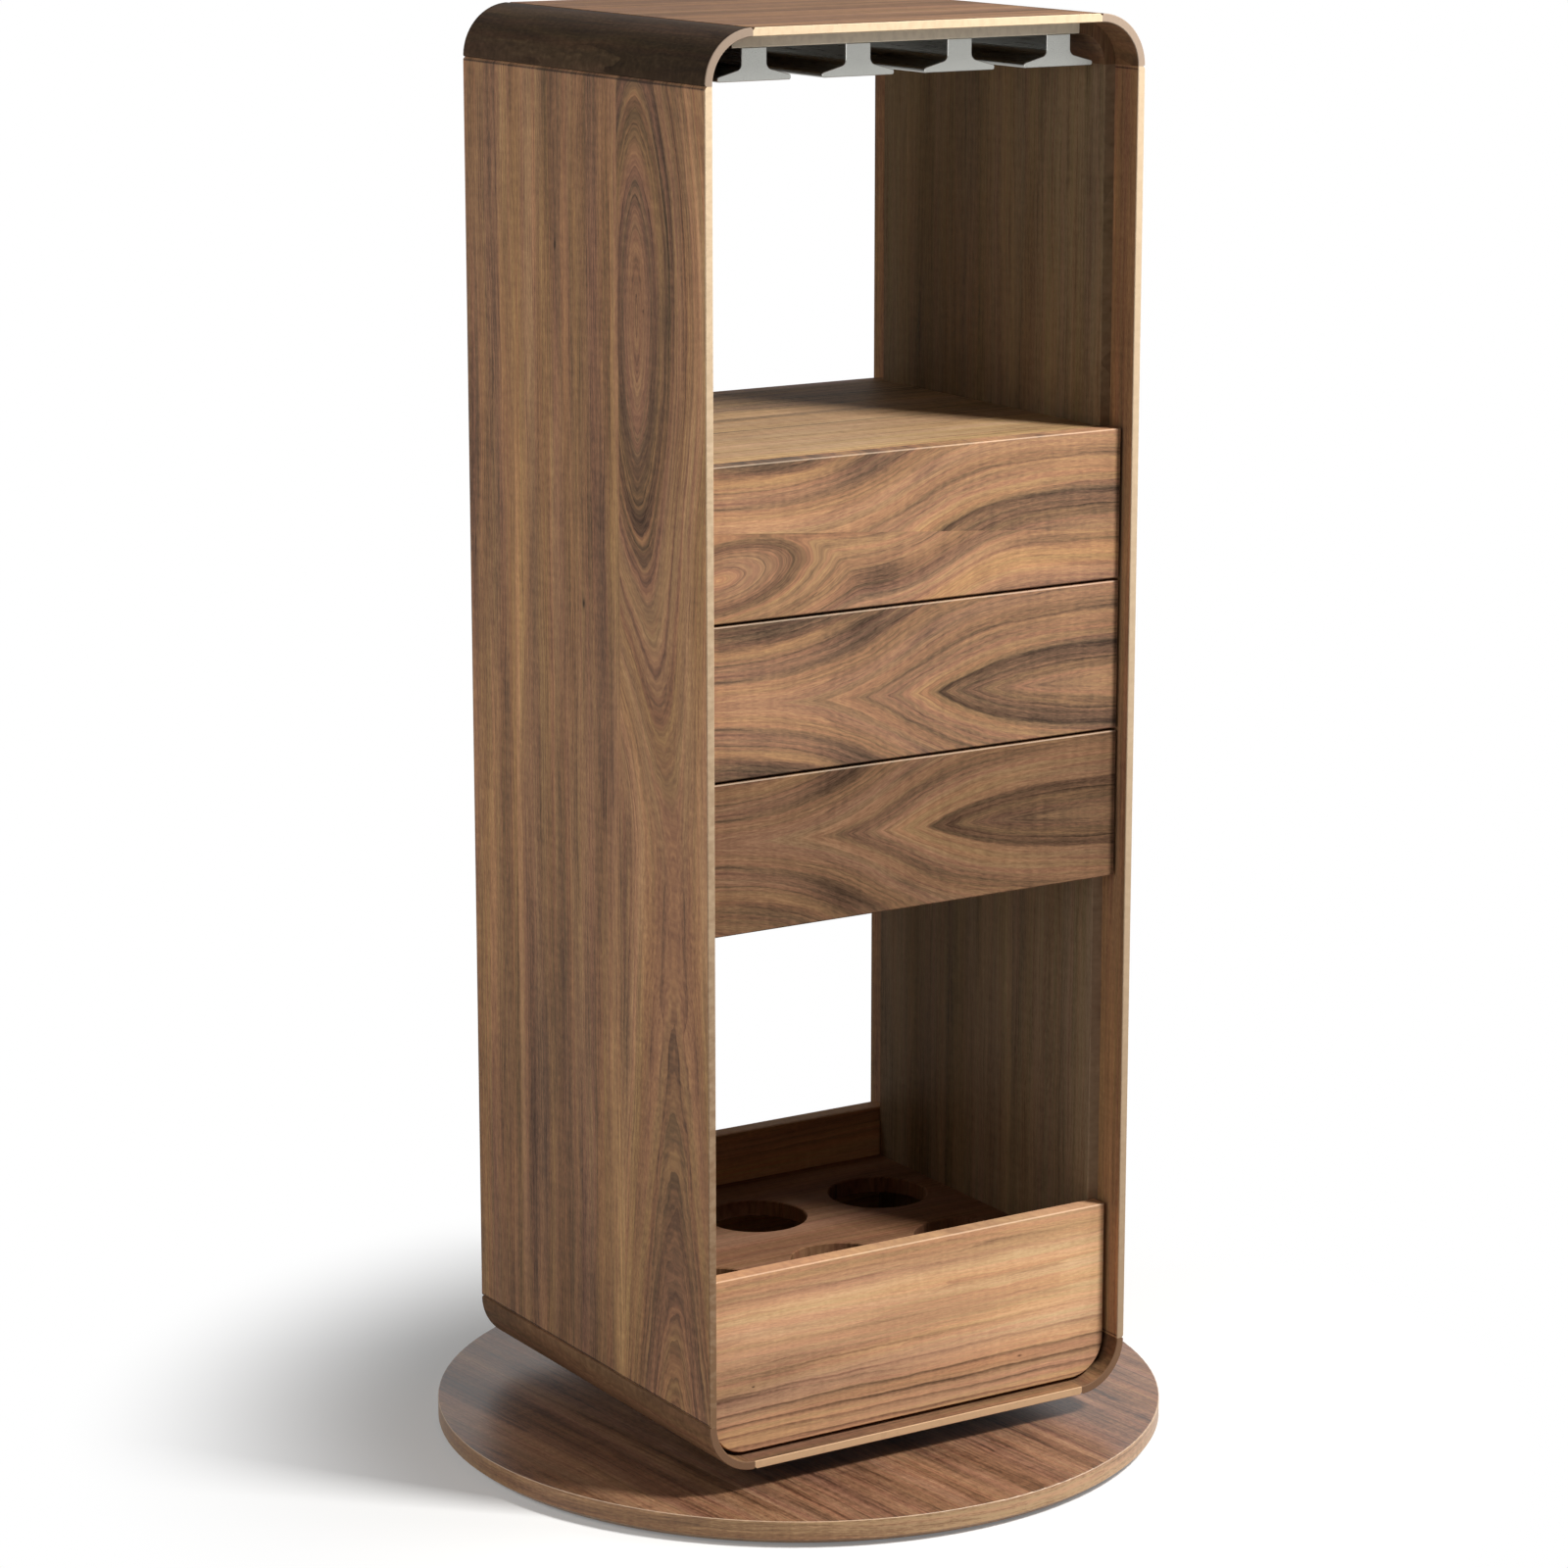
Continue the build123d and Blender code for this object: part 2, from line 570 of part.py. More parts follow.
# Shelves: top and bottom of the drawer block, and the bottle board
for name, z in shelf_zs.items():
    with BuildPart() as shelf:
        shelf_z = (z - SHELF_THICKNESS / 2, z + SHELF_THICKNESS / 2)
        slab((-inside, inside), (-liner_front, liner_front), shelf_z)
        for x_side in side_names:
            dowel_holes(shelf_dowels[z, x_side])
        if name == "bottle_board":
            with Locations((0, 0, z)):
                with GridLocations(2 * inside / BOTTLE_COLUMNS, BOTTLE_ROW_PITCH, BOTTLE_COLUMNS, 2):
                    Cylinder(BOTTLE_HOLE_RADIUS, SHELF_THICKNESS, mode=Mode.SUBTRACT)
            rims = shelf.edges().filter_by(GeomType.CIRCLE).group_by(SortBy.RADIUS)[-1]
            chamfer(rims, BOTTLE_HOLE_ARRIS)
        else:
            chamfer(shelf.edges().filter_by(Axis.X).group_by(Axis.Y)[0], ARRIS)
    save(shelf, name)

# Back of the drawer block, on the rear edges of the inner sides
front_half = lip_inside - FRONT_SIDE_GAP
with BuildPart() as block_back:
    back_y = (liner_front, liner_front + BACK_THICKNESS)
    slab((-front_half, front_half), back_y, (block_bottom_z, block_top_z))
    chamfer(block_back.faces().sort_by(Axis.Y)[-1].edges(), FRONT_ARRIS)
    for x_side in side_names:
        dowel_holes(edge_dowels[x_side][0])
save(block_back, "block_back")

# Front and rear boards of the bottle tray, with lower corners that follow the shell
tray_half = lip_inside - TRAY_SIDE_GAP
tray_corner = CORNER_RADIUS - SKIN - TRAY_SIDE_GAP
for name, y_side in (("tray_front", -1), ("tray_rear", 1)):
    with BuildPart() as tray_board:
        middle_y = y_side * (liner_front + TRAY_THICKNESS / 2)
        with BuildSketch(Plane.XZ.offset(-middle_y)) as outline:
            with Locations((0, tray_bottom)):
                Rectangle(2 * tray_half, tray_top - tray_bottom, align=(Align.CENTER, Align.MIN))
            fillet(outline.vertices().group_by(Axis.Y)[0], tray_corner)
        extrude(amount=TRAY_THICKNESS / 2, both=True)
        outer_face = tray_board.faces().sort_by(Axis.Y)[-1 if y_side > 0 else 0]
        inner_face = tray_board.faces().sort_by(Axis.Y)[0 if y_side > 0 else -1]
        chamfer(outer_face.edges() + inner_face.edges().sort_by(Axis.Z)[-1:], TRAY_ARRIS)
        for x_side in side_names:
            dowel_holes(edge_dowels[x_side][1])
    save(tray_board, name)

# Drawers, numbered from the top
box_half = inside - RUNNER_WIDTH
box_inside = box_half - BOX_SIDE
housing_y = front_rear_face - HOUSING_DEPTH
side_end = runner_rear - BOX_REAR_INSET
back_rear = side_end - BOX_BACK_INSET
back_front = back_rear - BOX_SIDE
for number, (bottom, runner_z) in enumerate(zip(drawer_bottoms, runner_zs), start=1):
    box_z = (bottom + box_lift, bottom + box_lift + box_height)
    panel_z = (box_z[0] + BOTTOM_LIFT, box_z[0] + BOTTOM_LIFT + BOTTOM_THICKNESS)
    groove_z = (panel_z[0] - GLUE_GAP, panel_z[1] + GLUE_GAP)
    housing_z = (box_z[0] - GLUE_GAP, box_z[1] + GLUE_GAP)

    with BuildPart() as drawer_front:
        slab((-front_half, front_half), (front_face, front_rear_face), (bottom, bottom + FRONT_HEIGHT))
        chamfer(drawer_front.faces().sort_by(Axis.Y)[0].edges(), FRONT_ARRIS)
        for x_side in side_names:
            housing_x = (x_side * (box_inside - GLUE_GAP), x_side * (box_half + GLUE_GAP))
            slab(housing_x, (housing_y, front_rear_face), housing_z, Mode.SUBTRACT)
        slab((-box_inside, box_inside), (housing_y, front_rear_face), groove_z, Mode.SUBTRACT)
    save(drawer_front, f"drawer_{number}_front")

    for x_side, side_name in side_names.items():
        with BuildPart() as drawer_side:
            slab((x_side * box_inside, x_side * box_half), (housing_y + GLUE_GAP, side_end), box_z)
            chamfer(drawer_side.edges().filter_by(Axis.Y).group_by(Axis.Z)[-1], INNER_ARRIS)
            groove_x = (x_side * box_inside, x_side * (box_inside + HOUSING_DEPTH))
            slab(groove_x, (housing_y, side_end), groove_z, Mode.SUBTRACT)
            dado_x = (x_side * box_inside, x_side * (box_inside + DADO_DEPTH))
            dado_y = (back_front - GLUE_GAP, back_rear + GLUE_GAP)
            slab(dado_x, dado_y, (panel_z[1], box_z[1]), Mode.SUBTRACT)
            screw_holes(inner_rail_screws(x_side, runner_z), RUNNER_SCREW)
        save(drawer_side, f"drawer_{number}_side_{side_name}")

    with BuildPart() as drawer_back:
        back_half = box_inside + DADO_DEPTH - GLUE_GAP
        slab((-back_half, back_half), (back_front, back_rear), (panel_z[1], box_z[1]))
        chamfer(drawer_back.edges().filter_by(Axis.X).group_by(Axis.Z)[-1], INNER_ARRIS)
    save(drawer_back, f"drawer_{number}_back")

    with BuildPart() as drawer_bottom:
        bottom_half = box_inside + HOUSING_DEPTH - GLUE_GAP
        slab((-bottom_half, bottom_half), (housing_y + GLUE_GAP, back_rear), panel_z)
    save(drawer_bottom, f"drawer_{number}_bottom")

    with BuildPart() as inner_rails:
        rail_y = (inner_rail_front, inner_rail_rear)
        rail_middle = (inner_rail_front + inner_rail_rear) / 2
        for x_side in side_names:
            web_x = (from_liner(x_side, RUNNER_WIDTH - RUNNER_SHEET), from_liner(x_side, RUNNER_WIDTH))
            flange_x = (from_liner(x_side, INNER_RAIL_START), from_liner(x_side, RUNNER_WIDTH))
            flange_foot = track_inner - RUNNER_FLANGE
            web_end = catch_pin_y + CATCH_PIN_RADIUS + CATCH_PIN_INSET
            slab(web_x, (inner_rail_front, web_end), (runner_z - flange_foot, runner_z + flange_foot))
            slab(web_x, rail_y, (runner_z - track_inner, runner_z + track_inner))
            for z_side in (-1, 1):
                slab(flange_x, rail_y, (runner_z + z_side * flange_foot, runner_z + z_side * track_inner))
                groove = (from_liner(x_side, RUNNER_BALL_X), rail_middle, runner_z + z_side * track_middle)
                with Locations(*along_y([groove])):
                    Cylinder(RUNNER_BALL_RADIUS + BALL_CLEARANCE, runner_length, mode=Mode.SUBTRACT)
            pin_end = from_liner(x_side, catch_slot_floor + CATCH_SLOT_PLAY)
            pin_root = from_liner(x_side, RUNNER_WIDTH)
            with Locations(*along_x([((pin_end + pin_root) / 2, catch_pin_y, runner_z)])):
                Cylinder(CATCH_PIN_RADIUS, abs(pin_root - pin_end))
            screw_holes(inner_rail_screws(x_side, runner_z), RUNNER_SCREW)
    save(inner_rails, f"drawer_{number}_rails")

    with BuildPart() as drawer_screws:
        for x_side in side_names:
            screws(inner_rail_screws(x_side, runner_z), RUNNER_SCREW)
    save(drawer_screws, f"drawer_{number}_screws")

    # Ball strips: bent cages with their balls, which travel half as far as the drawer
    strip_middle = strip_front + STRIP_LENGTH / 2
    row_start = strip_middle - RUNNER_BALL_PITCH * (RUNNER_BALLS_IN_ROW - 1) / 2
    ball_ys = [row_start + ball * RUNNER_BALL_PITCH for ball in range(RUNNER_BALLS_IN_ROW)]
    ball_centres = [
        (from_liner(x_side, RUNNER_BALL_X), y, runner_z + z_side * track_middle)
        for x_side in side_names
        for z_side in (-1, 1)
        for y in ball_ys
    ]
    with BuildPart() as ball_strips:
        for x_side in side_names:
            strip_y = (strip_front, strip_front + STRIP_LENGTH)
            web_start = (RUNNER_SHEET + INNER_RAIL_START - STRIP_SHEET) / 2
            cage_top = track_middle + STRIP_SHEET / 2
            web_x = (from_liner(x_side, web_start), from_liner(x_side, web_start + STRIP_SHEET))
            flange_x = (from_liner(x_side, web_start), from_liner(x_side, RUNNER_REACH - BALL_CLEARANCE))
            slab(web_x, strip_y, (runner_z - cage_top, runner_z + cage_top))
            for z_side in (-1, 1):
                cage_z = runner_z + z_side * track_middle
                slab(flange_x, strip_y, (cage_z - STRIP_SHEET / 2, cage_z + STRIP_SHEET / 2))
        with Locations(*ball_centres):
            Cylinder(RUNNER_BALL_RADIUS + BALL_CLEARANCE, RUNNER_TRACK_GAP, mode=Mode.SUBTRACT)
        with Locations(*ball_centres):
            Sphere(RUNNER_BALL_RADIUS)
    save(ball_strips, f"drawer_{number}_ball_strips")
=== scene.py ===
from math import cos, exp, pi, radians, sin

import bmesh
import bpy
from mathutils import Euler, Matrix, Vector


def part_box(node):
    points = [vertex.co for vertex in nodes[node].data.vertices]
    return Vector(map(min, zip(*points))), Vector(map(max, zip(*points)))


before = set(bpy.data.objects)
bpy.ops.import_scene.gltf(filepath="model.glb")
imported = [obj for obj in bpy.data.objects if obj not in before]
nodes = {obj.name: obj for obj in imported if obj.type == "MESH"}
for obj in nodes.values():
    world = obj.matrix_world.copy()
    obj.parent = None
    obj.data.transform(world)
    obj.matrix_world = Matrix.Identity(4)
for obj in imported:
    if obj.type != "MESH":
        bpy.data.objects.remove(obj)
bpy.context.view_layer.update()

# Patterns are given in millimetres, and Blender and the frame count in metres
MM = 0.001

# Places taken from the frame
side_low, side_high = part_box("side_panel_left")
disc_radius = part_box("base_disc")[1].x
upper_front, middle_front, lower_front = [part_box(f"drawer_{n}_front")[0].z for n in (1, 2, 3)]


def linear(code):
    """An sRGB hex colour as a linear colour with alpha."""
    channels = [int(code[k:k + 2], 16) / 255 for k in (1, 3, 5)]
    return [c / 12.92 if c <= 0.04045 else ((c + 0.055) / 1.055) ** 2.4 for c in channels] + [1.0]


def add(tree, kind, inputs=(), stops=(), **settings):
    """Adds a node. Its inputs are nodes, sockets or constants, in order or by name. Stops fill a ramp."""
    made = tree.nodes.new(kind)
    for key, value in settings.items():
        setattr(made, key, value)
    for _ in stops[2:]:
        made.color_ramp.elements.new(0.5)
    for k, (position, colour) in enumerate(stops):
        made.color_ramp.elements[k].position = position
        made.color_ramp.elements[k].color = colour
    for key, value in inputs.items() if isinstance(inputs, dict) else enumerate(inputs):
        if isinstance(value, bpy.types.Node):
            value = next(socket for socket in value.outputs if socket.enabled)
        if isinstance(value, bpy.types.NodeSocket):
            tree.links.new(value, made.inputs[key])
        else:
            made.inputs[key].default_value = value
    return made


# Settings of a mix node for colours, and of one that multiplies them
COLOUR_MIX = {"data_type": "RGBA"}
COLOUR_PRODUCT = {"data_type": "RGBA", "blend_type": "MULTIPLY"}


def new_material(name):
    """A node material with no nodes yet."""
    material = bpy.data.materials.new(name)
    material.use_nodes = True
    material.node_tree.nodes.clear()
    return material, material.node_tree


def noise(tree, point, lengths, detail=2.0, roughness=0.5):
    """Noise whose features have these lengths in mm along the point's own axes."""
    factors = [1 / (length * MM) for length in lengths]
    scaled = add(tree, "ShaderNodeVectorMath", (point, factors), operation="MULTIPLY")
    settings = {"Vector": scaled, "Scale": 1.0, "Detail": detail, "Roughness": roughness}
    return add(tree, "ShaderNodeTexNoise", settings)


def bell(tree, point, centre, halves):
    """1 at the centre, falling off to all sides over these half lengths, in mm."""
    centre = [place * MM for place in centre] + [0.0]
    factors = [1 / (half * MM) for half in halves] + [0.0]
    offset = add(tree, "ShaderNodeVectorMath", (point, centre), operation="SUBTRACT")
    offset = add(tree, "ShaderNodeVectorMath", (offset, factors), operation="MULTIPLY")
    square = add(tree, "ShaderNodeVectorMath", (offset, offset), operation="DOT_PRODUCT")
    return add(tree, "ShaderNodeMath", (exp(-1), square), operation="POWER")


# Walnut's figures: how the growth rings run over a board. Each turns a place along and across the board into
# a distance across the rings, in metres.


def plain_figure(tree, along, across):
    """Straight grain: the rings run with the board."""
    return across


def flame_figure(seam, centre, tilt=0.05, lower=None):
    """Two leaves that meet on a seam, the lower one mirrored. The rings climb from it and meet in points.
    Another figure may take the lower leaf's place."""
    climb_height, climb_length, lean = 0.0465, 0.11, 0.5

    def figure(tree, along, across):
        offset = add(tree, "ShaderNodeMath", (along, tilt, across), operation="MULTIPLY_ADD")
        offset = add(tree, "ShaderNodeMath", (offset, seam), operation="SUBTRACT")
        height = add(tree, "ShaderNodeMath", (offset,), operation="ABSOLUTE")
        run = add(tree, "ShaderNodeMath", (height, lean, along), operation="MULTIPLY_ADD")
        span = (centre - climb_length, centre + climb_length, -1.0, 1.0)
        run = add(tree, "ShaderNodeMapRange", (run, *span), clamp=False)
        climb = add(tree, "ShaderNodeMath", (run,), operation="TANH")
        climb = add(tree, "ShaderNodeMath", (climb, climb_height, climb_height), operation="MULTIPLY_ADD")
        upper = add(tree, "ShaderNodeMath", (height, climb), operation="SUBTRACT")
        if not lower:
            return upper
        under = add(tree, "ShaderNodeMath", (offset, 0.0), operation="LESS_THAN")
        return add(tree, "ShaderNodeMix", {"Factor": under, "A": upper, "B": lower(tree, along, offset)})
    return figure


# The rings of the leaf with the eye count from here, clear of the flames' own
EYE_START = 0.25


def eye_figure(tree, along, offset):
    """Leaf whose rings climb to the right, with half an eye at its left end. They count from EYE_START."""
    climb_start, climb_end, climb_height = -0.03, 0.09, 0.0325
    eye_along, eye_below, eye_lean = -0.205, 0.04, -0.22
    eye_half_length, eye_half_height, eye_rings, merge = 0.081, 0.031, 0.045, 0.008

    run = add(tree, "ShaderNodeMapRange", (along, climb_start, climb_end, -1.0, 1.0), clamp=False)
    climb = add(tree, "ShaderNodeMath", (run,), operation="TANH")
    climb = add(tree, "ShaderNodeMath", (climb, climb_height, climb_height), operation="MULTIPLY_ADD")
    base = add(tree, "ShaderNodeMath", (offset, climb), operation="SUBTRACT")

    sideways = add(tree, "ShaderNodeMath", (along, -eye_along), operation="ADD")
    upwards = add(tree, "ShaderNodeMath", (sideways, eye_lean, offset), operation="MULTIPLY_ADD")
    place = add(tree, "ShaderNodeCombineXYZ", (sideways, upwards))
    place = add(tree, "ShaderNodeVectorMath", (place, (0.0, eye_below, 0.0)), operation="ADD")
    factors = (1 / eye_half_length, 1 / eye_half_height, 0.0)
    place = add(tree, "ShaderNodeVectorMath", (place, factors), operation="MULTIPLY")
    radius = add(tree, "ShaderNodeVectorMath", (place,), operation="LENGTH")
    cone = add(tree, "ShaderNodeMath", (radius, -eye_rings, eye_rings), operation="MULTIPLY_ADD")
    rings = add(tree, "ShaderNodeMath", (base, cone, merge), operation="SMOOTH_MAX")
    return add(tree, "ShaderNodeMath", (rings, EYE_START), operation="ADD")


# The rings of straight grain behind a flat-cut leaf count from here, clear of the leaf's own
STRAIGHT_START = 0.16


def cathedral_figure(joint, eye, saddle, rise):
    """Flat-cut leaf in front of a joint: long ovals round an eye, then nested arches that point down to the
    saddle and up to it from below. Behind the joint the grain is straight, counted from STRAIGHT_START."""
    above_rate, below_rate = pi / 2 / (eye - saddle), 1.5
    pointed, narrow = 1.6, 1.4
    middle_at_saddle, middle_high, settled = -0.152, -0.096, 0.93

    def figure(tree, along, across):
        # How far the rings swell out from the leaf's middle, at this height
        drop = add(tree, "ShaderNodeMath", (along, saddle), operation="SUBTRACT")
        above = add(tree, "ShaderNodeMath", (drop, above_rate), operation="MULTIPLY")
        below = add(tree, "ShaderNodeMath", (drop, below_rate), operation="MULTIPLY")
        phase = add(tree, "ShaderNodeMath", (above, below), operation="MAXIMUM")
        swell = add(tree, "ShaderNodeMath", (phase,), operation="COSINE")
        swell = add(tree, "ShaderNodeMath", (swell,), operation="ABSOLUTE")
        swell = add(tree, "ShaderNodeMath", (swell, narrow * pointed), operation="POWER")

        # The leaf's middle moves to the rear on its way up
        span = (saddle, settled, middle_at_saddle, middle_high)
        middle = add(tree, "ShaderNodeMapRange", (along, *span), interpolation_type="SMOOTHSTEP")
        aside = add(tree, "ShaderNodeMath", (across, middle), operation="SUBTRACT")
        aside = add(tree, "ShaderNodeMath", (aside,), operation="ABSOLUTE")
        aside = add(tree, "ShaderNodeMath", (aside, pointed), operation="POWER")
        oval = add(tree, "ShaderNodeMath", (swell, rise ** pointed, aside), operation="MULTIPLY_ADD")
        oval = add(tree, "ShaderNodeMath", (oval, 1 / pointed), operation="POWER")

        straight = add(tree, "ShaderNodeMath", (across, STRAIGHT_START - joint), operation="ADD")
        behind = add(tree, "ShaderNodeMath", (across, joint), operation="GREATER_THAN")
        return add(tree, "ShaderNodeMix", {"Factor": behind, "A": oval, "B": straight})
    return figure


# The colours of each wood, from its darkest lines to its palest parts
WALNUT = ("#463830", "#6d5648", "#93715a", "#b18b6a", "#cea67e")
GOLDEN_WALNUT = ("#4b3c30", "#735e4a", "#9a7e61", "#ae9272", "#c4a98a")
PALE_WALNUT = ("#503c31", "#826451", "#ac866c", "#c8a07e", "#e0bd98")
BROWN_WALNUT = ("#3a2b22", "#5a4537", "#795c48", "#917259", "#ad8b6e")
RED_WALNUT = ("#2c1c15", "#523829", "#7b5945", "#97745c", "#b8957c")
OLIVE_WALNUT = ("#3a3127", "#5f5140", "#83705a", "#9d886f", "#b9a286")
DARK_WALNUT = ("#17100b", "#281d15", "#382b20", "#4b3b2e", "#63513f")
MAPLE = ("#b9976f", "#d0b089", "#dcc09b", "#e4cba9", "#eedabd")
BEECH = ("#a97f58", "#c49a70", "#cfa67c", "#d8b28a", "#e3c19c")
# Pale sanded wood with a painted highlight, laid on the arrises that turn upwards
SANDED_ARRIS_HIGHLIGHT = "#f3dcc0"

# The strip of veneer round a disc's edge is more golden and paler than its top
STRIP_TINT, STRIP_PALER = (1.0, 1.0, 0.82, 1.0), 0.3

# Each leaf of veneer comes from this much deeper in the log, in metres
LEAF_STEP = 0.83

# The sizes of walnut's patterns, in mm along the grain, across the rings and through the board. Real pores
# are 0.1 to 0.3 mm wide, too fine for the render, so they are drawn as coarse as they need to show.
BROAD, ZONE, FIBRE, PORE = (700, 40, 400), (260, 12, 400), (60, 2.2, 40), (6, 1.1, 9)
RIPPLE, LINE_STRENGTH = (7, 30, 400), (150, 9, 400)

# Their shares of the contrast, reached where the noise is at the ends of its usual span
BROAD_SHARE, ZONE_SHARE, FIBRE_SHARE, PORE_SHARE, RIPPLE_SHARE = 0.28, 0.22, 0.24, 0.2, 0.08
NOISE_LOW, NOISE_HIGH = 0.28, 0.72

# Waves in the rings: sizes in mm, share of the wave's height, detail
WAVES = (((420, 60, 400), 4.0, 1.0), ((70, 22, 400), 1.3, 2.0), ((24, 8, 400), 0.5, 1.0))

# Drifts of the hue: sizes in mm and the two tints, from golden to purple brown and from olive to red
HUES = (((500, 25, 400), (1.04, 1.0, 0.88, 1.0), (1.0, 0.97, 0.98, 1.0)),
        ((300, 4, 400), (0.96, 1.0, 0.92, 1.0), (1.06, 0.98, 0.96, 1.0)))

# The line that ends a ring: how sharply it darkens, how many rings the zones shift it, and its darkness
LINE_SHARPNESS, LINE_SHIFT, LINE_FAINT, LINE_DARK = 3.0, 3.0, 0.02, 0.26

# A knot pushes the rings aside over this many of its radii along the grain
KNOT_REACH, KNOT_PUSH, KNOT_FLATNESS, KNOT_DARK = 5, 0.8, 0.45, 0.6

# How steep a face's normal is where it counts as the front, as a disc's edge, and as an upward arris, where a
# highlight is painted
FRONT_SLOPE, EDGE_SLOPE = 0.6, 0.8
ARRIS_SLOPE, ARRIS_CORE, ARRIS_REACH = 0.6, 0.2, 0.38

# Pores, marks and grain are up to this deep, and the roughness drifts by this much along them
RELIEF, ROUGHNESS_DRIFT = 0.1 * MM, 0.06


def bent_strip(tree, split, facing, along, across, radius):
    """Veneer bent round a disc's edge of this radius: where the edge is, and the places on the strip."""
    back = add(tree, "ShaderNodeMath", (split.outputs["Y"], -1.0), operation="MULTIPLY")
    around = add(tree, "ShaderNodeMath", (split.outputs["X"], back), operation="ARCTAN2")
    around = add(tree, "ShaderNodeMath", (around, radius), operation="MULTIPLY")
    upright = add(tree, "ShaderNodeMath", (facing.outputs["Z"],), operation="ABSOLUTE")
    edge = add(tree, "ShaderNodeMath", (upright, EDGE_SLOPE), operation="LESS_THAN")
    along = add(tree, "ShaderNodeMix", {"Factor": edge, "A": along, "B": around})
    across = add(tree, "ShaderNodeMix", {"Factor": edge, "A": across, "B": split.outputs["Z"]})
    return edge, along, across


def lipping(tree, split, facing, colour, pore, lip, lip_from):
    """The front and rear edges in another wood, with its colours at the side panel's foot and head."""
    darker, paler = -0.12, 0.06
    front = add(tree, "ShaderNodeMath", (facing.outputs["Y"],), operation="ABSOLUTE")
    front = add(tree, "ShaderNodeMath", (front, FRONT_SLOPE), operation="GREATER_THAN")
    reach = add(tree, "ShaderNodeMath", (split.outputs["Y"],), operation="ABSOLUTE")
    reach = add(tree, "ShaderNodeMath", (reach, lip_from), operation="GREATER_THAN")
    front = add(tree, "ShaderNodeMath", (front, reach), operation="MULTIPLY")
    height = add(tree, "ShaderNodeMapRange", (split.outputs["Z"], side_low.z, side_high.z))
    mottle = add(tree, "ShaderNodeMapRange", (pore, 0.35, 0.65, darker, paler))
    height = add(tree, "ShaderNodeMath", (height, mottle), operation="ADD")
    foot, head = [linear(code) for code in lip]
    edge = add(tree, "ShaderNodeMix", {"Factor": height, "A": foot, "B": head}, **COLOUR_MIX)
    return add(tree, "ShaderNodeMix", {"Factor": front, "A": colour, "B": edge}, **COLOUR_MIX)


def sanded_arris_and_highlight(tree, facing, colour, amount):
    """Paler sanded wood and a painted highlight on the rounded arrises where the surface turns upwards,
    towards the light; arrises that turn downwards stay as they are.
    """
    slope = add(tree, "ShaderNodeMath", (facing.outputs["Z"], ARRIS_SLOPE), operation="SUBTRACT")
    slope = add(tree, "ShaderNodeMath", (slope,), operation="ABSOLUTE")
    slope = add(tree, "ShaderNodeMapRange", (slope, ARRIS_CORE, ARRIS_REACH, amount, 0.0))
    return add(tree, "ShaderNodeMix", {"Factor": slope, "A": colour, "B": linear(SANDED_ARRIS_HIGHLIGHT)}, **COLOUR_MIX)


